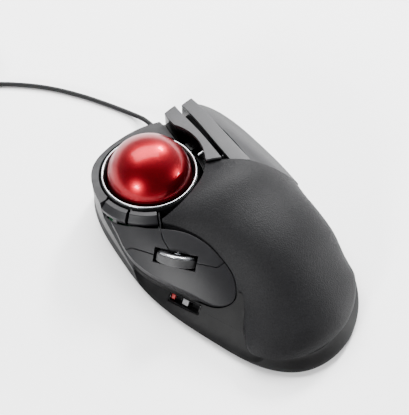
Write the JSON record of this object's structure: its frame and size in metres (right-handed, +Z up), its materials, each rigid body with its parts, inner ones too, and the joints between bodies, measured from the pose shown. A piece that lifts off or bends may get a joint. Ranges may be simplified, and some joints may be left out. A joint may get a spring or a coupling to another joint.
{
  "type": "trackball mouse",
  "caption": "Right-hand finger trackball mouse with palm hump, thumb keys, tilting scroll wheel, finger bars and a coiled cord.",
  "frame": {"origin": "bottom centre of the mouse's bounding box without its cord, on the desk", "axes": "+X to the user's right, +Y to the front where the cord leaves, +Z up"},
  "size_m": [0.2014, 0.3312, 0.059],
  "materials": {
    "soft_pad": "soft-touch matte coat with a fine grain",
    "casing_black": "matte black moulded plastic",
    "slate_plastic": "satin slate-grey plastic",
    "satin_plastic": "satin grey plastic with a fine grain",
    "black_gloss": "glossy black",
    "silver_ring": "bright satin metal plating",
    "ruby": "polished ruby",
    "clear_lens": "clear",
    "circuit_board": "green solder mask",
    "chip_black": "moulded black",
    "steel": "plain",
    "red_mark": "gloss red",
    "foot_rubber": "matte",
    "cord_black": "satin black jacket",
    "plug_metal": "nickel plated",
    "plug_tongue": "matte black",
    "ball_red": "pearl red",
    "ball_gloss": "pearl red under a polished clear coat",
    "tyre_rubber": "ribbed matte rubber",
    "wheel_chrome": "polished plating",
    "slider_white": "white plastic"
  },
  "bodies": {
    "base": {"palm_pad": "soft_pad", "palm_frame": "casing_black", "base_shell": "casing_black", "front_cover": "slate_plastic", "thumb_shell": "casing_black", "finger_deck": "black_gloss", "right_wing": "satin_plastic", "right_button_pin": "steel", "fn3_button_pin": "steel", "thumb_frame": "casing_black", "ball_rim": "silver_ring", "ball_collar": "black_gloss", "ball_cup": "casing_black", "cup_bearings": "ruby", "sensor_lens": "clear_lens", "sensor_board": "circuit_board", "sensor_chip": "chip_black", "main_board": "circuit_board", "key_switches": "chip_black", "fn_board": "circuit_board", "wheel_bracket": "casing_black", "speed_tray": "black_gloss", "speed_switch": "chip_black", "speed_mark": "red_mark", "rubber_feet": "foot_rubber", "case_screws": "steel", "cord_gland": "cord_black", "cord_run": "cord_black", "cord_coil": "cord_black", "cord_tail": "cord_black", "cord_tie": "cord_black", "usb_grip": "cord_black", "usb_shell": "plug_metal", "usb_tongue": "plug_tongue"},
    "ball_inner": {"ball_core": "ball_red"},
    "ball": {"ball_coat": "ball_gloss"},
    "right_button": {"right_button_cap": "satin_plastic", "right_button_lever": "black_gloss", "right_plunger": "chip_black"},
    "fn3_button": {"fn3_button_cap": "satin_plastic", "fn3_button_lever": "black_gloss", "fn3_plunger": "chip_black"},
    "fn1_button": {"fn1_key": "slate_plastic", "fn1_plunger": "chip_black"},
    "fn2_button": {"fn2_key": "slate_plastic", "fn2_plunger": "chip_black"},
    "forward_key": {"forward_button": "slate_plastic", "forward_plunger": "chip_black"},
    "back_key": {"back_button": "slate_plastic", "back_plunger": "chip_black"},
    "left_key": {"left_button": "slate_plastic", "left_plunger": "chip_black"},
    "wheel_carriage_body": {"wheel_carriage": "casing_black"},
    "wheel_cradle_body": {"wheel_cradle": "casing_black", "wheel_encoder": "chip_black"},
    "wheel": {"wheel_tyre": "tyre_rubber", "wheel_hub": "wheel_chrome", "wheel_axle": "steel"},
    "speed_slider_body": {"speed_slider": "slider_white"}
  },
  "joints": [
    {"name": "ball_roll_front", "type": "hinge", "parent": "base", "child": "ball_inner", "pos_m": [-0.0145, 0.0585, 0.033], "axis": [1, 0, 0], "continuous": true},
    {"name": "ball_roll_side", "type": "hinge", "parent": "ball_inner", "child": "ball", "pos_m": [-0.0145, 0.0585, 0.033], "axis": [0, 1, 0], "continuous": true},
    {"name": "right_button_press", "type": "hinge", "parent": "base", "child": "right_button", "pos_m": [0.0112, 0.0465, 0.0396], "axis": [-1, 0, 0], "range_deg": [0, 1.2], "stiffness_Nm_per_rad": 1.5},
    {"name": "fn3_button_press", "type": "hinge", "parent": "base", "child": "fn3_button", "pos_m": [0.0226, 0.037, 0.0374], "axis": [-1, 0, 0], "range_deg": [0, 1.2], "stiffness_Nm_per_rad": 1.5},
    {"name": "fn1_press", "type": "slide", "parent": "base", "child": "fn1_button", "axis": [-0.0825, -0.1457, -0.9859], "range_m": [0, 0.0005], "stiffness_N_per_m": 1200},
    {"name": "fn2_press", "type": "slide", "parent": "base", "child": "fn2_button", "axis": [-0.0825, -0.1457, -0.9859], "range_m": [0, 0.0005], "stiffness_N_per_m": 1200},
    {"name": "forward_press", "type": "slide", "parent": "base", "child": "forward_key", "axis": [0.5717, 0.2537, -0.7803], "range_m": [0, 0.0005], "stiffness_N_per_m": 1200},
    {"name": "back_press", "type": "slide", "parent": "base", "child": "back_key", "axis": [0.5717, 0.2537, -0.7803], "range_m": [0, 0.0005], "stiffness_N_per_m": 1200},
    {"name": "left_press", "type": "slide", "parent": "base", "child": "left_key", "axis": [0.5717, 0.2537, -0.7803], "range_m": [0, 0.0005], "stiffness_N_per_m": 1200},
    {"name": "wheel_press", "type": "slide", "parent": "base", "child": "wheel_carriage_body", "axis": [0.5717, 0.2537, -0.7803], "range_m": [0, 0.0005], "stiffness_N_per_m": 2500},
    {"name": "wheel_tilt", "type": "hinge", "parent": "wheel_carriage_body", "child": "wheel_cradle_body", "pos_m": [-0.02871, 0.01088, 0.01555], "axis": [0.5073, -0.8567, 0.0931], "range_deg": [-2.5, 2.5], "stiffness_Nm_per_rad": 0.8},
    {"name": "wheel_spin", "type": "hinge", "parent": "wheel_cradle_body", "child": "wheel", "pos_m": [-0.037, 0.0072, 0.02686], "axis": [0.6449, 0.4491, 0.6185], "continuous": true},
    {"name": "speed_slide", "type": "slide", "parent": "base", "child": "speed_slider_body", "axis": [0.2556, -0.9526, 0.165], "range_m": [-0.002, 0.002]}
  ]
}
